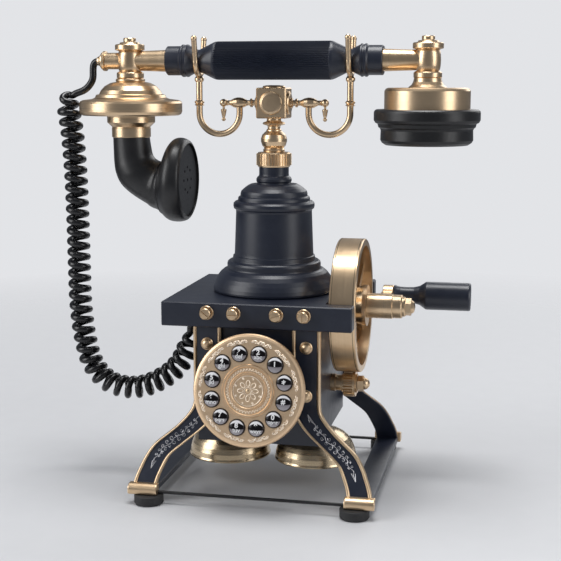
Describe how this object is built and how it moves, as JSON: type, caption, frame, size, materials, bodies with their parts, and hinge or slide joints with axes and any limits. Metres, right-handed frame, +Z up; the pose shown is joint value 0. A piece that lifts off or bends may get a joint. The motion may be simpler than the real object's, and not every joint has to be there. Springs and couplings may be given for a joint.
{
  "type": "corded desk telephone",
  "caption": "Open-frame corded desk telephone with a push-button dial, twin gongs, a side crank, and a handset with a horn on a forked cradle",
  "frame": {"origin": "on the table, under the middle of the phone's base", "axes": "+X to the user's right, where the crank is; -Y is the front, with the dial; +Z up"},
  "size_m": [0.3022, 0.1759, 0.3135],
  "materials": {
    "gold_brass": "brushed satin brass, champagne gold",
    "navy_paint": "satin dark navy powder coat",
    "black_phenolic": "satin black moulded phenolic",
    "black_enamel": "satin black enamel",
    "black_rubber": "matt black rubber",
    "black_cord": "glossy black flexible PVC",
    "button_chrome": "glossy black with a clear dome and white figures",
    "bright_steel": "turned steel",
    "board": "green printed circuit board",
    "copper_coil": "enamelled copper winding"
  },
  "bodies": {
    "base": {"base_plate": "navy_paint", "plate_screws": "gold_brass", "housing": "navy_paint", "housing_floor": "navy_paint", "side_frame_left": "navy_paint", "side_frame_right": "navy_paint", "frame_trims": "gold_brass", "tie_rods": "black_enamel", "feet": "black_rubber", "leg_nuts": "gold_brass", "bell_left": "gold_brass", "bell_right": "gold_brass", "bell_posts": "bright_steel", "ringer_coil": "copper_coil", "circuit_board": "board", "hook_switch": "black_phenolic", "column": "navy_paint", "column_nut": "gold_brass", "dial_housing": "black_phenolic", "dial_plate": "gold_brass", "crank_bush": "gold_brass", "pinion_stud": "gold_brass", "cord_bush": "black_rubber", "cord_coil": "black_cord", "cord_tail": "black_cord"},
    "clapper": {"clapper": "bright_steel"},
    "cradle": {"cradle_stem": "gold_brass", "cradle_cube": "gold_brass", "cradle_caps": "gold_brass", "cradle_arms": "gold_brass", "hook_left": "gold_brass", "hook_right": "gold_brass"},
    "crank": {"flywheel": "gold_brass", "crank_shaft": "bright_steel", "crank_arm": "gold_brass", "crank_nut": "gold_brass"},
    "handle": {"crank_handle": "navy_paint"},
    "pinion": {"pinion": "gold_brass"},
    "handset": {"handset_grip": "navy_paint", "handset_tubes": "gold_brass", "handset_tees": "gold_brass", "mic_housing": "gold_brass", "capsules": "bright_steel", "horn": "black_phenolic", "horn_grille": "black_phenolic", "ear_housing": "gold_brass", "ear_cap": "black_phenolic", "cord_lead": "black_cord"},
    "key_1": {"button_1": "button_chrome"},
    "key_2": {"button_2": "button_chrome"},
    "key_3": {"button_3": "button_chrome"},
    "key_4": {"button_4": "button_chrome"},
    "key_5": {"button_5": "button_chrome"},
    "key_6": {"button_6": "button_chrome"},
    "key_7": {"button_7": "button_chrome"},
    "key_8": {"button_8": "button_chrome"},
    "key_9": {"button_9": "button_chrome"},
    "key_0": {"button_0": "button_chrome"},
    "key_star": {"button_star": "button_chrome"},
    "key_hash": {"button_hash": "button_chrome"}
  },
  "joints": [
    {"name": "handset_lift", "type": "slide", "parent": "base", "child": "handset", "axis": [0, 0, 1], "range_m": [0, 0.08]},
    {"name": "cradle_press", "type": "slide", "parent": "base", "child": "cradle", "axis": [0, 0, 1], "range_m": [0, 0.003]},
    {"name": "crank_spin", "type": "hinge", "parent": "base", "child": "crank", "pos_m": [0.056, 0, 0.1272], "axis": [1, 0, 0], "continuous": true},
    {"name": "handle_spin", "type": "hinge", "parent": "crank", "child": "handle", "pos_m": [0.108, 0.048, 0.1272], "axis": [1, 0, 0], "continuous": true},
    {"name": "pinion_spin", "type": "hinge", "parent": "base", "child": "pinion", "pos_m": [0.055, 0, 0.0707], "axis": [1, 0, 0], "continuous": true},
    {"name": "clapper_swing", "type": "hinge", "parent": "base", "child": "clapper", "pos_m": [0, 0.016, 0.05], "axis": [0, 1, 0], "range_deg": [-11, 11]},
    {"name": "press_1", "type": "slide", "parent": "base", "child": "key_1", "axis": [0, 0.9863, -0.165], "range_m": [0, 0.0015], "stiffness_N_per_m": 400, "springref_m": -0.001},
    {"name": "press_2", "type": "slide", "parent": "base", "child": "key_2", "axis": [0, 0.9863, -0.165], "range_m": [0, 0.0015], "stiffness_N_per_m": 400, "springref_m": -0.001},
    {"name": "press_3", "type": "slide", "parent": "base", "child": "key_3", "axis": [0, 0.9863, -0.165], "range_m": [0, 0.0015], "stiffness_N_per_m": 400, "springref_m": -0.001},
    {"name": "press_4", "type": "slide", "parent": "base", "child": "key_4", "axis": [0, 0.9863, -0.165], "range_m": [0, 0.0015], "stiffness_N_per_m": 400, "springref_m": -0.001},
    {"name": "press_5", "type": "slide", "parent": "base", "child": "key_5", "axis": [0, 0.9863, -0.165], "range_m": [0, 0.0015], "stiffness_N_per_m": 400, "springref_m": -0.001},
    {"name": "press_6", "type": "slide", "parent": "base", "child": "key_6", "axis": [0, 0.9863, -0.165], "range_m": [0, 0.0015], "stiffness_N_per_m": 400, "springref_m": -0.001},
    {"name": "press_7", "type": "slide", "parent": "base", "child": "key_7", "axis": [0, 0.9863, -0.165], "range_m": [0, 0.0015], "stiffness_N_per_m": 400, "springref_m": -0.001},
    {"name": "press_8", "type": "slide", "parent": "base", "child": "key_8", "axis": [0, 0.9863, -0.165], "range_m": [0, 0.0015], "stiffness_N_per_m": 400, "springref_m": -0.001},
    {"name": "press_9", "type": "slide", "parent": "base", "child": "key_9", "axis": [0, 0.9863, -0.165], "range_m": [0, 0.0015], "stiffness_N_per_m": 400, "springref_m": -0.001},
    {"name": "press_0", "type": "slide", "parent": "base", "child": "key_0", "axis": [0, 0.9863, -0.165], "range_m": [0, 0.0015], "stiffness_N_per_m": 400, "springref_m": -0.001},
    {"name": "press_star", "type": "slide", "parent": "base", "child": "key_star", "axis": [0, 0.9863, -0.165], "range_m": [0, 0.0015], "stiffness_N_per_m": 400, "springref_m": -0.001},
    {"name": "press_hash", "type": "slide", "parent": "base", "child": "key_hash", "axis": [0, 0.9863, -0.165], "range_m": [0, 0.0015], "stiffness_N_per_m": 400, "springref_m": -0.001}
  ],
  "couplings": [
    {"joint": "cradle_press", "follows": "handset_lift", "ratio": 0.0375},
    {"joint": "pinion_spin", "follows": "crank_spin", "ratio": -4.9263}
  ]
}
